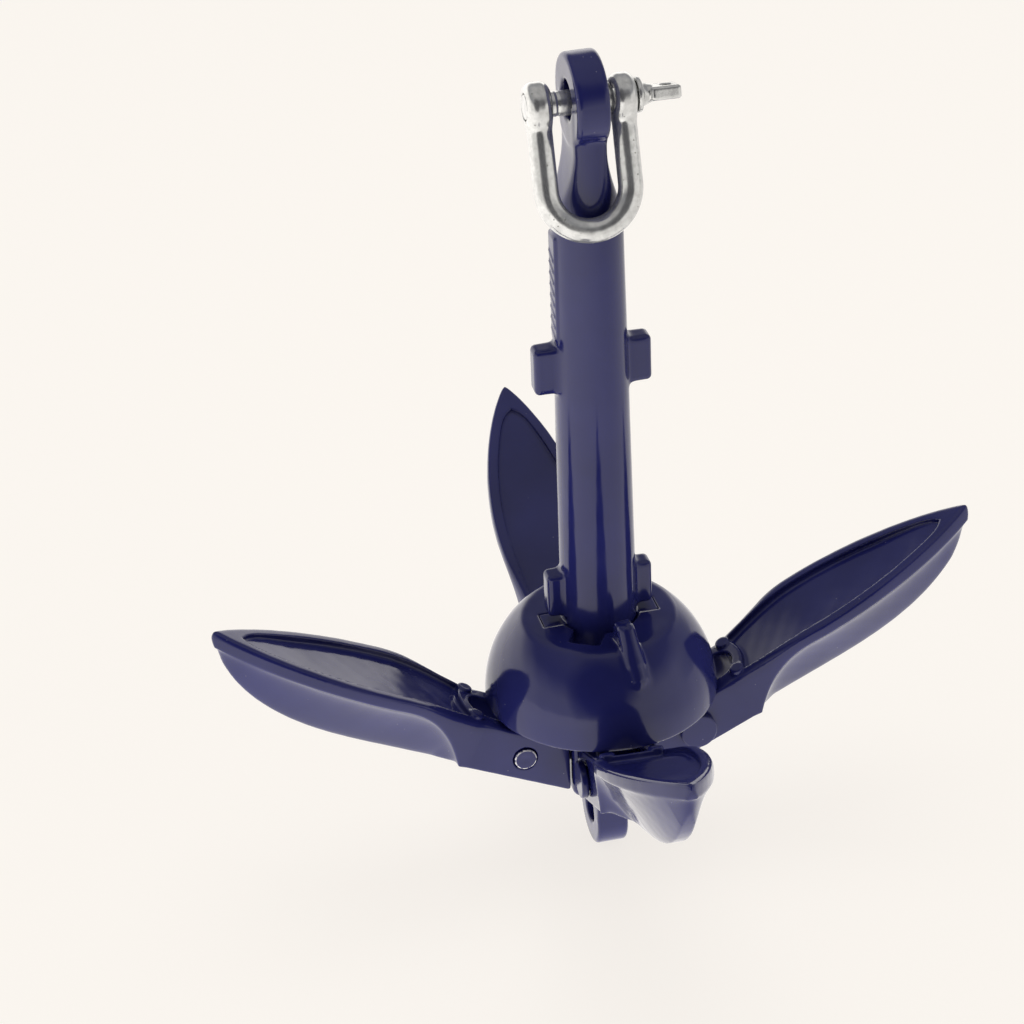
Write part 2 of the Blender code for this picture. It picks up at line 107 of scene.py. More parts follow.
# Fluke, in its own frame: u along the blade from the rivet, y across, v square to both
BLADE_ANGLE = math.radians(25.0)
ARM_HALF = 12.0
ARM_BOTTOM = -8.2
TAIL_U = -17.0
LEAF_START_U = 18.0
WIDEST_U = 54.0
WIDEST_HALF = 17.3
POINT_U = 115.7
LEAF_CURVE = 1.93                  # the outline's two powers between WIDEST_U and POINT_U
LEAF_BLUNT = 0.85
TOP_RISE = (9.0, 14.2, 8.0, 52.0)  # height at the arm and on the blade, u at start and end
TOP_SLOPE = 0.018                  # from there on
HEEL_U = 21.4
HEEL_BLEND = (HEEL_U - 1.0, HEEL_U + 7.0)
KEEL_START_U = 45.0
KEEL_LENGTH = 71.5
KEEL_BASE = 15.3
KEEL_DEPTH = 26.7
KEEL_HALF = 2.6
CREASE = 10.0
CREASE_LENGTH = 29.0
RIM_WIDTH = 3.9
DISH_DEPTH = 2.6
DISH_ROOT_U = 25.4
DISH_END_U = 105.0
FORK_HALF = 5.8
FORK_END_U = 16.0
BOSS_U = 21.5
BOSS_Y = 8.1
BOSS_RADIUS = 2.6

# Collar
BALL_RADIUS = 38.7
BALL_Z = 61.3
RIM_Z = 60.5
TOP_Z = 90.5
WALL = 5.0
BORE = 13.0
SLOTS = ((-119.0, 5.1, 19.7, 0.9),     # turn, half width, reach, edge
         (0.0, 4.06, 19.46, 0.15))
FIN_TURN = -81.0
FIN_HALF = 2.7
FIN_OUTLINE = ((16.6, -4.0), (17.3, 5.2), (18.6, 7.2), (22.0, 7.0), (25.6, 2.4),
               (30.2, -3.2), (31.0, -12.5), (24.0, -8.0))          # from the axis, above TOP_Z
FIN_ROD = ((22.4, 5.0), (31.0, -8.4), 2.9)                         # upper end, lower end, radius

# Shackle
SHACKLE_LEAN = math.radians(1.3)
SHACKLE_SHIFT = -1.2
SHACKLE_TILT = math.radians(23.5)
SHACKLE_PIN_Z = 274.3
BOW_REACH = 39.5
BOW_HALF_SPAN = 13.3
BOW_RADIUS = 3.9
EAR_RADIUS = 7.5
EAR_HALF = 4.0
PIN_RADIUS = 3.95
GROOVE = (-7.4, 0.25, 0.45)        # x, its centre's height over the pin, radius
FLANGE_RADIUS = 5.6
FLANGE_HALF = 0.75
CONE = (4.3, 0.42, 1.2)            # radius at the flange, taper, least radius
TAB_START = 4.2                    # beyond the ear
TAB = (9.6, 4.2, 2.2)              # length, half width, half thickness
EYELET = (5.6, 2.1)                # from the tab's start, radius
TAB_TURN = math.radians(16.0)

# Stage, in metres
FLOOR_REACH = 15.0
TABLE_REACH = 3.0
TABLE_HEIGHT = -0.002

# Camera, fitted to the photo, in metres
CAMERA_TURNS = (-12.548, 30.890, -2.534)       # azimuth, elevation, roll, degrees
CAMERA_TARGET = (-0.02642, 0.00587, 0.12997)
CAMERA_DISTANCE = 1.1929
CAMERA_LENS = 129.51                           # mm, on a sensor CAMERA_SENSOR wide
CAMERA_SENSOR = 36.0


# Fields: each takes coordinates in mm and gives a distance, negative inside


def union(a, b, soft):
    """Either solid, with a fillet about as wide as soft where they meet."""
    h = np.maximum(soft - np.abs(a - b), 0.0) / soft
    return np.minimum(a, b) - h ** 3 * soft / 6.0


def common(a, b, soft):
    """Only where both solids are, with the edge rounded over about soft."""
    return -union(-a, -b, soft)


def cut(a, b, soft):
    """The first solid less the second, with a rounded edge."""
    return -union(-a, b, soft)


def rounded(across, along, edge):
    """Two face distances joined at a corner of radius edge."""
    a = across + edge
    b = along + edge
    outside = np.sqrt(np.maximum(a, 0.0) ** 2 + np.maximum(b, 0.0) ** 2)
    return outside + np.minimum(np.maximum(a, b), 0.0) - edge


def disc(across, along, radius, half, edge):
    """A round plate from the distance to its axis and the distance from its middle plane."""
    return rounded(across - radius, np.abs(along) - half, edge)


def block(x, y, z, low, high, edge):
    """A box between two corners, with round edges."""
    q = [np.abs(c - (a + b) / 2.0) - (b - a) / 2.0 + edge
         for c, a, b in zip((x, y, z), low, high)]
    outside = np.sqrt(sum(np.maximum(c, 0.0) ** 2 for c in q))
    return outside + np.minimum(np.maximum(np.maximum(q[0], q[1]), q[2]), 0.0) - edge


def outline(a, b, points):
    """Distance in a plane to a polygon's outline."""
    nearest = None
    inside = None
    for (ax, ay), (bx, by) in zip(points, points[1:] + points[:1]):
        ex, ey = bx - ax, by - ay
        wx, wy = a - ax, b - ay
        t = np.clip((wx * ex + wy * ey) / (ex * ex + ey * ey), 0.0, 1.0)
        gap = (wx - ex * t) ** 2 + (wy - ey * t) ** 2
        side = (ay <= b) != (by <= b)
        with np.errstate(divide="ignore", invalid="ignore"):
            crosses = side & (a < ax + ex * wy / (ey if ey else 1e-9))
        nearest = gap if nearest is None else np.minimum(nearest, gap)
        inside = crosses if inside is None else inside ^ crosses
    return np.where(inside, -1.0, 1.0) * np.sqrt(nearest)


def spin(x, y, degrees):
    """Coordinates in a frame turned about Z."""
    c, s = math.cos(math.radians(degrees)), math.sin(math.radians(degrees))
    return x * c + y * s, y * c - x * s


def ease(value, start, end):
    """0 up to start, 1 from end on, and smooth between them."""
    t = np.clip((value - start) / (end - start), 0.0, 1.0)
    return t * t * (3.0 - 2.0 * t)


def mix(a, b, t):
    """From a at t = 0 to b at t = 1."""
    return a + (b - a) * t


def settle(value, x, y, z, depth=0.035):
    """The coating's slight unevenness: long soft waves, always on the inside of the drawn size."""
    wave = np.sin(x * 0.37 + 1.3) * np.sin(y * 0.31 + 0.4) * np.sin(z * 0.23 + 2.1)
    wave = wave + 0.6 * np.sin(x * 0.83 + z * 0.19) * np.sin(y * 0.71 - z * 0.27 + 0.8)
    return value + depth * (1.0 + 0.6 * wave)


# From a field to a mesh


def skin(field, low, high, step):
    """The field's surface as quads, one vertex per grid cell, drawn onto the surface itself."""
    axes = [np.arange(a - 2.5 * step, b + 2.5 * step, step) for a, b in zip(low, high)]
    grid = np.meshgrid(*axes, indexing="ij", sparse=True)
    value = np.broadcast_to(field(*grid), [len(a) for a in axes])
    inside = value < 0.0
    nx, ny, nz = (len(a) - 1 for a in axes)

    corners = [(i, j, k) for i in (0, 1) for j in (0, 1) for k in (0, 1)]
    count = sum(inside[i:i + nx, j:j + ny, k:k + nz].astype(np.int8) for i, j, k in corners)
    cells = np.argwhere((count > 0) & (count < 8))
    number = np.full((nx, ny, nz), -1, np.int64)
    number[tuple(cells.T)] = np.arange(len(cells))

    at = {c: value[tuple((cells + c).T)] for c in corners}
    total = np.zeros((len(cells), 3))
    crossings = np.zeros(len(cells))
    for start in corners:
        for axis in range(3):
            if start[axis]:
                continue
            end = tuple(v + (k == axis) for k, v in enumerate(start))
            a, b = at[start], at[end]
            crossed = (a < 0.0) != (b < 0.0)
            t = np.where(crossed, a / np.where(crossed, a - b, 1.0), 0.0)
            point = np.tile(np.array(start, float), (len(cells), 1))
            point[:, axis] = t
            total += point * crossed[:, None]
            crossings += crossed
    points = (cells + total / crossings[:, None]) * step + [a[0] for a in axes]

    quads = []
    for axis in range(3):
        after, last = (axis + 1) % 3, (axis + 2) % 3
        first = np.moveaxis(inside, axis, 0)
        changed = np.moveaxis(first[:-1] != first[1:], 0, axis)
        where = np.argwhere(changed)
        where = where[(where[:, after] > 0) & (where[:, last] > 0)]
        where = where[(where[:, after] < number.shape[after])
                      & (where[:, last] < number.shape[last])]
        ring = []
        for da, db in ((-1, -1), (0, -1), (0, 0), (-1, 0)):
            cell = where.copy()
            cell[:, after] += da
            cell[:, last] += db
            ring.append(number[tuple(cell.T)])
        ring = np.stack(ring, 1)
        outward = inside[tuple(where.T)]
        quads.append(np.where(outward[:, None], ring, ring[:, ::-1]))
    return draw_onto(field, points, step), np.concatenate(quads)


def slope(field, points, reach=0.02):
    """The field's gradient at each point."""
    result = np.empty_like(points)
    for axis in range(3):
        shift = np.zeros(3)
        shift[axis] = reach
        result[:, axis] = field(*(points + shift).T) - field(*(points - shift).T)
    return result / (2.0 * reach)


def draw_onto(field, points, step, rounds=4):
    """Newton steps onto the surface, each no longer than half a grid step."""
    for _ in range(rounds):
        gradient = slope(field, points)
        steep = np.maximum((gradient ** 2).sum(1), 1e-4)
        move = gradient * (field(*points.T) / steep)[:, None]
        length = np.sqrt((move ** 2).sum(1))[:, None]
        points = points - move * np.minimum(1.0, 0.5 * step / np.maximum(length, 1e-9))
    return points


def make_piece(name, points, quads, material, body, node, matrix=None, marks=None):
    """An object of the given points (mm), which rides a body and stands for its CAD node.

    marks are the points' distances from a rivet's axis, for the painted rim highlight.
    """
    mesh = bpy.data.meshes.new(name)
    mesh.from_pydata((points * MM).tolist(), [], quads.tolist())
    if marks is not None:
        mesh.attributes.new("from_axis", "FLOAT", "POINT").data.foreach_set("value", marks)
    if matrix is not None:
        mesh.transform(matrix)
    mesh.validate()
    mesh.shade_smooth()
    mesh.materials.append(material)
    piece = bpy.data.objects.new(name, mesh)
    bpy.context.scene.collection.objects.link(piece)
    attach(piece, body)
    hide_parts(node)


# Shank


def bar_radius(z):
    """The round bar's radius: a slight taper, then the neck below the eye."""
    low_z, low_radius = BAR_LOW
    high_z, high_radius = BAR_HIGH
    bar = mix(low_radius, high_radius, np.clip((z - low_z) / (high_z - low_z), 0.0, 1.0))
    return mix(bar, NECK_RADIUS, ease(z, BAR_HIGH[0], NECK_TOP - 4.0))


def make_bar(x, y, z):
    """The round bar. Near the top two flats close in on it, down to the eye's thickness."""
    bar = np.sqrt(x * x + y * y) - bar_radius(z)
    open_share = np.clip((FLAT_FULL - z) / (FLAT_FULL - FLAT_START), 0.0, 2.0)
    flats = (np.abs(x) - mix(EYE_HALF, BAR_HIGH[1], open_share ** 1.7)) * 0.93
    bar = common(bar, flats, 2.4)
    ends = np.abs(z - (CORE_Z[1] + EYE_Z) / 2.0) - (EYE_Z - CORE_Z[1]) / 2.0
    return common(bar, ends, 1.0)


def make_panel(x, y, z):
    """A raised strip on the bar's side with a row of plain slanted ribs."""
    low, high = PANEL_Z
    face, half = PANEL
    strip = block(x, y, z, (-face, -half, low), (-6.0, half, high), 0.8)
    along = z - RIB_SLANT * y - (low + FIRST_RIB)
    row = np.clip(np.round(along / RIB_PITCH), 0, LAST_RIB)
    face, half, half_height = RIB
    rib = block(x, y, along - row * RIB_PITCH,
                (-face, -half, -half_height), (-9.0, half, half_height), 0.5)
    return union(strip, rib, 0.5)


def make_tongues(x, y, z):
    """Four ears with round ends, one for each fluke."""
    ears = None
    for degrees in TURNS.values():
        a, b = spin(x, y, degrees)
        height = np.abs(z - PIVOT_Z)
        taper = TONGUE_TAPER * np.maximum(a - CORE_HALF, 0.0)
        bar = np.maximum(height - TONGUE_HALF_HEIGHT + taper, a - PIVOT_X)
        from_pivot = np.sqrt((a - PIVOT_X) ** 2 + (z - PIVOT_Z) ** 2)
        side = union(bar, from_pivot - TONGUE_END, 1.5)
        ear = rounded(side, np.abs(b) - TONGUE_HALF, 0.7)
        ear = np.maximum(ear, TONGUE_ROOT - a)
        hole = from_pivot - RIVET_RADIUS - GAP
        ear = cut(ear, np.maximum(hole, np.abs(b) - 9.0), 0.5)
        ears = ear if ears is None else np.minimum(ears, ear)
    return ears


def make_eye(y, z, x, centre, radius, edge):
    """A flat round plate across the axis, as thick as the eyes are."""
    return disc(np.sqrt(y * y + (z - centre) ** 2), x, radius, EYE_HALF, edge)


def shank_field(x, y, z):
    solid = make_bar(x, y, z)
    for reach, low, high in (UPPER_LUG, LOWER_LUG):
        side = np.abs(x)
        draft = LUG_DRAFT * (side - LUG_ROOT)
        lug = block(side, np.abs(y) + draft, z, (0.0, -LUG_HALF, low), (reach, LUG_HALF, high), 1.7)
        solid = union(solid, lug, 3.0)
    half, reach, low, high = FOOT
    foot = block(np.abs(x), y, z, (0.0, -half, low), (reach, half, high), 0.15)
    solid = union(solid, foot, 0.3)
    solid = union(solid, make_panel(x, y, z), 0.8)
    solid = union(solid, make_eye(y, z, x, EYE_Z, EYE_RADIUS, 1.5), 1.6)
    core = block(x, y, z, (-CORE_HALF, -CORE_HALF, CORE_Z[0]),
                 (CORE_HALF, CORE_HALF, CORE_Z[1]), 3.2)
    solid = union(solid, core, 3.0)
    solid = union(solid, make_tongues(x, y, z), 2.0)
    lower = make_eye(y, z, x, LOWER_EYE_RADIUS, LOWER_EYE_RADIUS, 1.3)
    stem = block(x, y, z, (-EYE_HALF, -LOWER_EYE_RADIUS, LOWER_EYE_RADIUS),
                 (EYE_HALF, LOWER_EYE_RADIUS, CORE_Z[0] + 4.0), 1.3)
    solid = union(solid, union(lower, stem, 0.4), 2.6)
    upper_hole = np.sqrt(y * y + (z - EYE_Z) ** 2) - EYE_HOLE
    lower_hole = np.sqrt(y * y + (z - LOWER_HOLE_Z) ** 2) - LOWER_HOLE
    solid = cut(solid, upper_hole, 1.6)
    solid = cut(solid, np.maximum(lower_hole, z - 24.0), 1.4)
    return settle(solid, x, y, z)


# Fluke


def leaf_half(u):
    """Half the blade's width at u: it widens from the arm, and closes in a blunt point."""
    t = np.clip((u - LEAF_START_U) / (WIDEST_U - LEAF_START_U), 0.0, 1.0)
    near = mix(ARM_HALF, WIDEST_HALF, np.sin(t * math.pi / 2.0) ** 1.25)
    x = np.clip((u - WIDEST_U) / (POINT_U - WIDEST_U), 0.0, 0.999)
    far = WIDEST_HALF * (1.0 - x ** LEAF_CURVE) ** LEAF_BLUNT
    return np.where(u < WIDEST_U, near, far)


def leaf(u, y):
    """Distance to the blade's leaf outline, seen from above."""

    def shape(u, y):
        near = np.abs(y) - leaf_half(np.minimum(u, WIDEST_U))
        x = np.maximum(u - WIDEST_U, 0.0) / (POINT_U - WIDEST_U)
        far = (np.abs(y) / WIDEST_HALF) ** (1.0 / LEAF_BLUNT) + x ** LEAF_CURVE
        far = far ** LEAF_BLUNT - 1.0
        return np.where(u < WIDEST_U, near, far * WIDEST_HALF)

    reach = 0.05
    value = shape(u, y)
    along = (shape(u + reach, y) - shape(u - reach, y)) / (2.0 * reach)
    across = (shape(u, np.abs(y) + reach) - value) / reach
    return value / np.sqrt(np.maximum(along ** 2 + across ** 2, 0.2))


def fluke_top(u):
    """Height of the upper face: it rises from the arm, then slowly on to the point."""
    low, high, start, end = TOP_RISE
    return mix(low, high, ease(u, start, end)) + TOP_SLOPE * np.maximum(u - end, 0.0)


def fluke_underside(u, y):
    """Height of the lower face: flat under the arm, then a blunt keel with hollow flanks."""
    top = fluke_top(u)
    heel = ease(u, *HEEL_BLEND)
    x = np.clip((u - KEEL_START_U) / KEEL_LENGTH, 0.0, 1.0)
    keel = KEEL_BASE - KEEL_DEPTH * np.maximum(1.0 - x ** 3, 0.0) ** 0.8
    keel = mix(ARM_BOTTOM, keel, heel)
    keel = np.minimum(keel, top - 2.4)
    t = np.clip((u - HEEL_U) / CREASE_LENGTH, 0.0, 1.0)
    crease = CREASE - (CREASE - ARM_BOTTOM) * (1.0 - t) ** 2.45
    crease = np.maximum(np.minimum(crease, top - 2.5), keel)
    width = leaf_half(u)
    blunt = np.minimum(KEEL_HALF, 0.35 * width)
    blunt = mix(0.7 * width, blunt, heel)
    share = np.clip((np.sqrt(y * y + 3.0) - blunt) / (width - blunt), 0.0, 1.1)
    share = 1.14 * share * share / (share + 0.14)
    hollow = 1.0 - np.maximum(1.0 - share, 0.0) ** 1.75
    flank = 0.72 * hollow + 0.28 * share
    return keel + (crease - keel) * flank


def fluke_field(u, y, v):
    """The leaf between its two faces, less the dish and the fork, with two small bosses."""
    sides = leaf(u, y)
    top = fluke_top(u)
    under = fluke_underside(u, y)
    reach = 0.05
    tilt = (fluke_underside(u, np.abs(y) + reach) - under) / reach
    lean = (fluke_underside(u + reach, y) - under) / reach
    below = (under - v) / np.sqrt(1.0 + tilt ** 2 + lean ** 2)
    shoulder = 2.6 + 3.4 * ease(u, 12.0, 22.0) * (1.0 - ease(u, 30.0, 46.0))
    solid = common(sides, v - top, shoulder)
    solid = common(solid, below, 1.2)
    solid = common(solid, u - POINT_U + 0.2, 2.0)
    tail = (TAIL_U + v * math.tan(BLADE_ANGLE) - u) * math.cos(BLADE_ANGLE)
    solid = common(solid, tail, 2.2)

    inner = sides + RIM_WIDTH - 0.7 * (1.0 - ease(u, 28.0, 50.0))
    inner = common(inner, u - DISH_END_U, 9.0)
    floor = top - DISH_DEPTH + 0.25 * (y / 12.0) ** 2 + 1.1 * ease(u, 80.0, 104.0)
    root = (DISH_ROOT_U - 0.03 * y * y - u) * 0.93
    dish = common(common(inner, root, 2.0), floor - v, 2.0 - 0.9 * ease(u, 60.0, 96.0))
    solid = cut(solid, dish, 0.7)

    fork_end = np.sqrt(np.maximum(u - FORK_END_U, 0.0) ** 2 + y * y)
    fork = np.where(u < FORK_END_U, np.abs(y), fork_end)
    solid = cut(solid, fork - FORK_HALF, 1.2)
    for side in (-1.0, 1.0):
        across = np.sqrt((u - BOSS_U) ** 2 + (y - side * BOSS_Y) ** 2)
        height = v - fluke_top(BOSS_U) - 1.0
        boss = rounded(across - BOSS_RADIUS, np.maximum(height, 2.0 - v), 0.6)
        solid = union(solid, boss, 0.7)
    hole = np.sqrt(u * u + v * v) - RIVET_RADIUS - GAP
    solid = cut(solid, hole, 0.9)
    return settle(solid, u, y, v)


# Rivet, along y, with its head on the -y side


def rivet_field(x, y, z):
    across = np.sqrt(x * x + z * z)
    face = ARM_HALF + GAP
    shaft = rounded(across - RIVET_RADIUS, np.abs(y) - face - 0.3, 0.5)
    half = HEAD_THICKNESS / 2.0
    head = disc(across, y + face + half, HEAD_RADIUS, half, 0.7)
    centre, radius = DIMPLE
    dimple = np.sqrt(x * x + z * z + (y - face - centre) ** 2) - radius
    return cut(union(shaft, head, 0.5), dimple, 0.5)


# Collar


def make_fin(x, y, z):
    """The thumb horn: a thick rod that runs down the ball, with a web to the flat top."""
    a, b = spin(x, y, FIN_TURN)
    h = z - TOP_Z
    web = rounded(outline(a, h, FIN_OUTLINE), np.abs(b) - FIN_HALF, 0.9)
    (ax, ah), (bx, bh), radius = FIN_ROD
    length = (bx - ax) ** 2 + (bh - ah) ** 2
    t = np.clip(((a - ax) * (bx - ax) + (h - ah) * (bh - ah)) / length, 0, 1)
    rod = np.sqrt((a - mix(ax, bx, t)) ** 2 + b * b + (h - mix(ah, bh, t)) ** 2) - radius
    return union(web, rod, 1.8)


def collar_field(x, y, z):
    """The hollow ball with a flat top, less its bore and notches, and with the fin."""
    radius = np.sqrt(x * x + y * y)
    ball = np.sqrt(radius ** 2 + (z - BALL_Z) ** 2)
    shell = common(ball - BALL_RADIUS, z - TOP_Z, 1.5)
    shell = union(shell, make_fin(x, y, z), 3.0)
    hollow = common(ball - (BALL_RADIUS - WALL), z - (TOP_Z - WALL - 1.0), 4.0)
    shell = cut(shell, hollow, 1.0)
    shell = common(shell, RIM_Z - z, 1.4)
    shell = cut(shell, radius - BORE, 1.0)
    for degrees, half, reach, edge in SLOTS:
        a, b = spin(x, y, degrees)
        shell = cut(shell, rounded(np.abs(a) - reach, np.abs(b) - half, edge), edge)
    return settle(shell, x, y, z)


# Shackle, in its own frame: x along the pin, -z down the bow


def bow_field(x, y, z):
    """A round wire bent to a U, with a drilled ear on each end."""
    straight = BOW_REACH - BOW_HALF_SPAN
    drop = np.minimum(z + straight, 0.0)
    from_line = np.sqrt(x * x + drop * drop) - BOW_HALF_SPAN
    above = np.maximum(z, 0.0)
    wire = np.sqrt(from_line ** 2 + y * y + above ** 2) - BOW_RADIUS
    across = np.sqrt(y * y + z * z)
    ear = disc(across, np.abs(x) - BOW_HALF_SPAN, EAR_RADIUS, EAR_HALF, 3.1)
    solid = union(wire, ear, 2.6)
    hole = across - PIN_RADIUS - GAP
    return cut(solid, hole, 0.9)


def pin_field(x, y, z):
    """The shaft with its groove, then a flange, a short cone and a drilled tab."""
    across = np.sqrt(y * y + z * z)
    face = BOW_HALF_SPAN + EAR_HALF
    shaft = rounded(across - PIN_RADIUS, np.abs(x - 0.15) - face - 0.15, 0.5)
    place, height, radius = GROOVE
    groove = np.sqrt((across - PIN_RADIUS - height) ** 2 + (x - place) ** 2) - radius
    shaft = cut(shaft, groove, 0.4)
    flange = disc(across, x - face - GAP - FLANGE_HALF, FLANGE_RADIUS, FLANGE_HALF, 0.45)
    rise = x - (face + GAP + 1.2)
    thick, taper, thin = CONE
    cone = common(across - np.maximum(thick - taper * rise, thin), np.abs(rise - 3.0) - 4.2, 1.0)
    start = face + GAP + TAB_START
    length, half, thickness = TAB
    tab = block(x, y, z, (start, -half, -thickness), (start + length, half, thickness), 1.1)
    solid = union(union(shaft, flange, 0.5), union(cone, tab, 2.0), 1.2)
    solid = cut(solid, np.maximum(PIN_RADIUS + 0.12 - across, x - face - GAP), 0.1)
    place, radius = EYELET
    eyelet = np.sqrt((x - start - place) ** 2 + y * y) - radius
    return cut(solid, eyelet, 0.9)


# Materials


def new_material(name):
    """A material with its nodes, its links and its main shader."""
    material = bpy.data.materials.new(name)
    material.use_nodes = True
    nodes = material.node_tree.nodes
    return material, nodes, material.node_tree.links, nodes["Principled BSDF"]


def noise(nodes, links, vector, scale, detail=3.0, roughness=0.5):
    """Cloudy noise about 0.5."""
    node = nodes.new("ShaderNodeTexNoise")
    node.inputs["Scale"].default_value = scale
    node.inputs["Detail"].default_value = detail
    node.inputs["Roughness"].default_value = roughness
    links.new(vector, node.inputs["Vector"])
    return node.outputs["Fac"]


def ramp(nodes, links, value, low, high, to_low=0.0, to_high=1.0):
    """A straight ramp from to_low at low to to_high at high, flat outside them."""
    node = nodes.new("ShaderNodeMapRange")
    for socket, number in zip(("From Min", "From Max", "To Min", "To Max"),
                              (low, high, to_low, to_high)):
        node.inputs[socket].default_value = number
    links.new(value, node.inputs["Value"])
    return node.outputs["Result"]


def blend_colour(nodes, links, share, first, second):
    """Mixes two colours, each a colour or a socket."""
    node = nodes.new("ShaderNodeMix")
    node.data_type = "RGBA"
    links.new(share, node.inputs["Factor"])
    for name, colour in (("A", first), ("B", second)):
        socket = [s for s in node.inputs if s.name == name and s.type == "RGBA"][0]
        if isinstance(colour, tuple):
            socket.default_value = (*colour, 1.0)
        else:
            links.new(colour, socket)
    return [s for s in node.outputs if s.type == "RGBA"][0]


def bump(nodes, links, height, distance, strength, before=None):
    """A normal bent by a height, on top of the normal given as before."""
    node = nodes.new("ShaderNodeBump")
    node.inputs["Strength"].default_value = strength
    node.inputs["Distance"].default_value = distance
    links.new(height, node.inputs["Height"])
    if before is not None:
        links.new(before, node.inputs["Normal"])
    return node.outputs["Normal"]


def product(nodes, links, first, second):
    node = nodes.new("ShaderNodeMath")
    node.operation = "MULTIPLY"
    links.new(first, node.inputs[0])
    links.new(second, node.inputs[1])
    return node.outputs["Value"]


def specks(nodes, links, vector, scale, size):
    """Scattered dots, 1 on a dot and 0 between them."""
    node = nodes.new("ShaderNodeTexVoronoi")
    node.inputs["Scale"].default_value = scale
    node.inputs["Randomness"].default_value = 1.0
    links.new(vector, node.inputs["Vector"])
    near = ramp(nodes, links, node.outputs["Distance"], size * 0.6, size, 1.0, 0.0)
    chosen = nodes.new("ShaderNodeSeparateColor")
    links.new(node.outputs["Color"], chosen.inputs["Color"])
    some = ramp(nodes, links, chosen.outputs["Red"], 0.90, 0.92)
    return product(nodes, links, near, some)


def painted_rim_highlight(nodes, links, place):
    """A painted highlight: a pale ring on a rivet's plain-end rim, broken up by noise."""
    radius = nodes.new("ShaderNodeAttribute")
    radius.attribute_name = "from_axis"
    edge = ramp(nodes, links, radius.outputs["Fac"], RIVET_RADIUS - 0.52, RIVET_RADIUS - 0.36)
    glint_pieces = ramp(nodes, links, noise(nodes, links, place, 700.0, 3.0, 0.6), 0.40, 0.50)
    return product(nodes, links, edge, glint_pieces)


def make_coating(name, roughness, paint_rim_highlight=False):
    """Thick glossy navy coating: orange peel, slow sags and colour drift, and dust specks. With
    paint_rim_highlight, also a painted highlight ring on the rivet's rim.
    """
    material, nodes, links, shader = new_material(name)
    place = nodes.new("ShaderNodeTexCoord").outputs["Object"]
    drift = noise(nodes, links, place, 28.0, 3.0)
    deep = tuple(c * 0.82 for c in NAVY)
    pale = tuple(c * 1.18 + 0.002 for c in NAVY)
    colour = blend_colour(nodes, links, ramp(nodes, links, drift, 0.3, 0.7), deep, pale)
    dust = specks(nodes, links, place, 420.0, 0.10)
    colour = blend_colour(nodes, links, dust, colour, DUST)
    # painted highlight: a pale broken ring on the rivet's plain-end rim
    if paint_rim_highlight:
        ring = painted_rim_highlight(nodes, links, place)
        colour = blend_colour(nodes, links, ring, colour, RIM_HIGHLIGHT)
    links.new(colour, shader.inputs["Base Color"])

    cloud = noise(nodes, links, place, 90.0, 4.0, 0.6)
    links.new(ramp(nodes, links, cloud, 0.35, 0.75, roughness * 0.75, roughness * 1.6),
              shader.inputs["Roughness"])
    shader.inputs["IOR"].default_value = 1.5

    peel = noise(nodes, links, place, 260.0, 1.0, 0.4)
    sag = noise(nodes, links, place, 60.0, 1.0, 0.4)
    normal = bump(nodes, links, sag, 0.00010, 0.6)
    normal = bump(nodes, links, peel, 0.00002, 0.5, normal)
    normal = bump(nodes, links, dust, 0.00005, 0.5, normal)
    links.new(normal, shader.inputs["Normal"])
    return material


def make_zinc(name, roughness):
    """Hot-dip zinc: cloudy in tone and gloss, lumpy and lightly pitted."""
    material, nodes, links, shader = new_material(name)
    place = nodes.new("ShaderNodeTexCoord").outputs["Object"]
    cloud = noise(nodes, links, place, 320.0, 5.0, 0.65)
    dull = tuple(c * 0.80 for c in ZINC)
    colour = blend_colour(nodes, links, ramp(nodes, links, cloud, 0.35, 0.62), dull, ZINC)
    pits = specks(nodes, links, place, 900.0, 0.28)
    colour = blend_colour(nodes, links, pits, colour, PIT)
    links.new(colour, shader.inputs["Base Color"])
    shader.inputs["Metallic"].default_value = 0.82
    rough = noise(nodes, links, place, 150.0, 4.0, 0.6)
    links.new(ramp(nodes, links, rough, 0.3, 0.7, roughness * 0.75, roughness * 1.35),
              shader.inputs["Roughness"])
    lumps = noise(nodes, links, place, 420.0, 3.0, 0.5)
    normal = bump(nodes, links, lumps, 0.00008, 0.6)
    normal = bump(nodes, links, pits, -0.00006, 0.6, normal)
    links.new(normal, shader.inputs["Normal"])
    return material


# Studio


def make_sheet(name, reach, height, material):
    """A level square of the stage, centred on the anchor's axis."""
    mesh = bpy.data.meshes.new(name)
    mesh.from_pydata([(-reach, -reach, height), (reach, -reach, height),
                      (reach, reach, height), (-reach, reach, height)], [], [(0, 1, 2, 3)])
    mesh.materials.append(material)
    sheet = bpy.data.objects.new(name, mesh)
    bpy.context.scene.collection.objects.link(sheet)
    return sheet


def make_floor():
    """A pale floor that only the camera sees, and under it a light table that it doesn't see.

    The table lights the anchor from below and shows in its coating.
    """
    material, _, _, shader = new_material("floor_paper")
    shader.inputs["Base Color"].default_value = (0.25, 0.245, 0.235, 1.0)
    shader.inputs["Roughness"].default_value = 0.9
    shader.inputs["Specular IOR Level"].default_value = 0.1
    shader.inputs["Emission Color"].default_value = (1.0, 0.955, 0.895, 1.0)
    shader.inputs["Emission Strength"].default_value = 0.80
    floor = make_sheet("floor", FLOOR_REACH, 0.0, material)
    floor.visible_glossy = False
    floor.visible_diffuse = False

    material, nodes, links, shader = new_material("light_table")
    shader.inputs["Base Color"].default_value = (0.0, 0.0, 0.0, 1.0)
    shader.inputs["Specular IOR Level"].default_value = 0.0
    shader.inputs["Emission Color"].default_value = (1.0, 0.965, 0.94, 1.0)
    across = nodes.new("ShaderNodeSeparateXYZ")
    links.new(nodes.new("ShaderNodeTexCoord").outputs["Object"], across.inputs["Vector"])
    links.new(ramp(nodes, links, across.outputs["X"], -0.35, 0.30, 1.48, 0.90),
              shader.inputs["Emission Strength"])
    table = make_sheet("light_table", TABLE_REACH, TABLE_HEIGHT, material)
    table.visible_camera = False


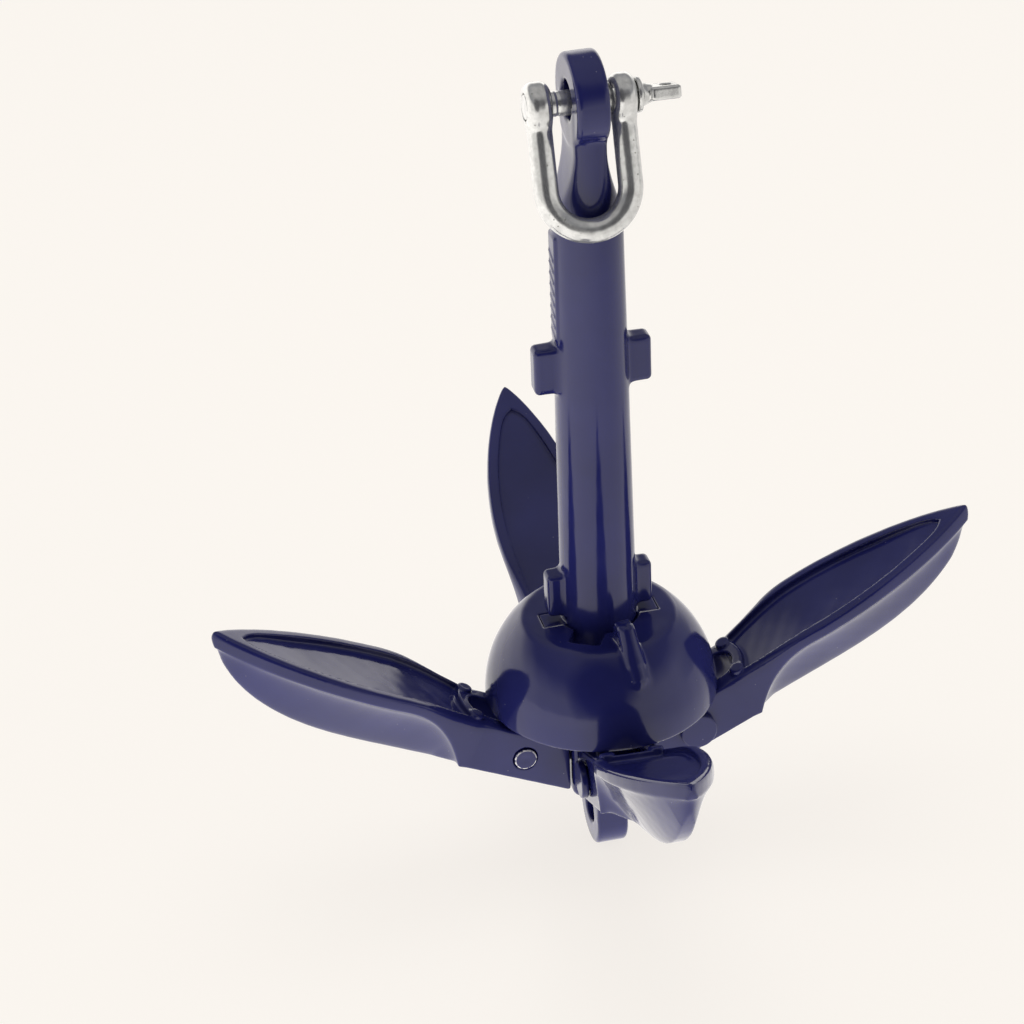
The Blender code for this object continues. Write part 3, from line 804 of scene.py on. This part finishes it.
def make_world():
    """A studio tent: a bright low band all round, strongest at the back, and dimmer above it."""
    world = bpy.data.worlds.new("tent")
    bpy.context.scene.world = world
    world.use_nodes = True
    nodes, links = world.node_tree.nodes, world.node_tree.links
    direction = nodes.new("ShaderNodeTexCoord").outputs["Generated"]

    def towards(x, y, z, low, high):
        """0 to 1 as the direction turns towards (x, y, z), by the angle's cosine."""
        dot = nodes.new("ShaderNodeVectorMath")
        dot.operation = "DOT_PRODUCT"
        links.new(direction, dot.inputs[0])
        dot.inputs[1].default_value = Vector((x, y, z)).normalized()
        return ramp(nodes, links, dot.outputs["Value"], low, high)

    def blend(share, first, second):
        return blend_colour(nodes, links, share, first, second)

    band = blend(towards(-0.05, 1.0, 0.0, -0.2, 0.6), (0.95, 0.925, 0.90), (1.60, 1.55, 1.50))
    band = blend(towards(1.0, 0.35, 0.0, 0.80, 0.97), band, (0.45, 0.45, 0.46))
    above = blend(towards(0.0, 0.0, 1.0, 0.60, 0.92), (0.25, 0.25, 0.27), (0.46, 0.45, 0.45))
    colour = blend(towards(0.0, 0.0, 1.0, 0.25, 0.50), band, above)
    colour = blend(towards(-0.20, -0.85, 0.45, 0.79, 0.92), colour, (0.04, 0.04, 0.05))
    background = nodes["Background"]
    links.new(colour, background.inputs["Color"])
    background.inputs["Strength"].default_value = 1.0


def make_light(name, place, aim, size, power):
    """A soft area light that doesn't show, not even in the coating."""
    data = bpy.data.lights.new(name, "AREA")
    data.shape = "RECTANGLE"
    data.size, data.size_y = size
    data.energy = power
    light = bpy.data.objects.new(name, data)
    light.location = place
    light.rotation_mode = "QUATERNION"
    light.rotation_quaternion = (Vector(aim) - Vector(place)).to_track_quat("-Z", "Y")
    light.visible_camera = False
    light.visible_glossy = False
    bpy.context.scene.collection.objects.link(light)


def make_camera():
    azimuth, elevation, roll = map(math.radians, CAMERA_TURNS)
    back = Vector((math.sin(azimuth) * math.cos(elevation),
                   -math.cos(azimuth) * math.cos(elevation), math.sin(elevation)))
    data = bpy.data.cameras.new("camera")
    data.lens = CAMERA_LENS
    data.sensor_width = CAMERA_SENSOR
    camera = bpy.data.objects.new("camera", data)
    camera.location = Vector(CAMERA_TARGET) + back * CAMERA_DISTANCE
    camera.rotation_mode = "QUATERNION"
    camera.rotation_quaternion = ((-back).to_track_quat("-Z", "Y")
                                  @ Matrix.Rotation(roll, 3, "Z").to_quaternion())
    bpy.context.scene.collection.objects.link(camera)
    bpy.context.scene.camera = camera


# The anchor


def make_shank():
    coat = make_coating("navy_casting", 0.13)
    points, quads = skin(shank_field, (-40, -40, 0), (40, 40, 290), SHANK_STEP)
    make_piece("shank_casting", points, quads, coat, "shank", "shank")


def make_collar():
    coat = make_coating("navy_collar", 0.12)
    points, quads = skin(collar_field, (-39, -39, 60), (39, 39, 100), COLLAR_STEP)
    make_piece("bell_collar", points, quads, coat, "collar", "collar")


def make_flukes():
    coat = make_coating("navy_fluke", 0.12)
    # the rivets' coating has a painted highlight ring on the plain end's rim
    rivet_coat = make_coating("navy_rivet", 0.15, paint_rim_highlight=True)
    points, quads = skin(fluke_field, (-22, -18, -12), (116, 18, 16), FLUKE_STEP)
    rivet_points, rivet_quads = skin(rivet_field, (-7, -15, -7), (7, 13, 7), SMALL_STEP)
    # distances from the axis, kept on the plain end only, place the painted rim highlight
    from_axis = np.hypot(rivet_points[:, 0], rivet_points[:, 2])
    from_axis = np.where(rivet_points[:, 1] > ARM_HALF, from_axis, 0.0).astype(np.float32)
    for name, degrees in TURNS.items():
        outward = Matrix.Rotation(math.radians(degrees), 4, "Z")
        pivot = outward @ Vector((PIVOT_X * MM, 0.0, PIVOT_Z * MM))
        place = Matrix.Translation(pivot) @ outward
        tilted = place @ Matrix.Rotation(-BLADE_ANGLE, 4, "Y")
        make_piece(f"blade_{name}", points, quads, coat, f"fluke_{name}", f"fluke_{name}",
                   tilted)
        make_piece(f"pivot_{name}", rivet_points, rivet_quads, rivet_coat, "shank",
                   f"rivet_{name}", place, from_axis)


def make_shackle():
    place = (Matrix.Translation((0.0, 0.0, SHACKLE_PIN_Z * MM))
             @ Matrix.Rotation(SHACKLE_LEAN, 4, "Y") @ Matrix.Rotation(-SHACKLE_TILT, 4, "X")
             @ Matrix.Translation((SHACKLE_SHIFT * MM, 0.0, 0.0)))
    points, quads = skin(bow_field, (-22, -8, -44), (22, 8, 8), SMALL_STEP)
    make_piece("bow", points, quads, make_zinc("zinc_bow", 0.17), "shackle", "shackle_bow",
               place)
    turn = Matrix.Rotation(SHACKLE_TILT - TAB_TURN, 4, "X")
    points, quads = skin(pin_field, (-20, -6, -6), (34, 6, 6), SMALL_STEP)
    make_piece("screw_pin", points, quads, make_zinc("zinc_pin", 0.20), "shackle_pin",
               "shackle_pin", place @ turn)


bpy.context.scene.view_settings.view_transform = "Standard"
make_camera()
make_world()
make_floor()
make_light("top", (0.1, 0.2, 1.6), (0.0, 0.0, 0.1), (1.2, 1.2), 7.0)
make_light("bounce", (0.0, 0.0, 0.003), (0.0, 0.0, 1.0), (1.2, 1.2), 3.0)
make_shank()
make_collar()
make_flukes()
make_shackle()
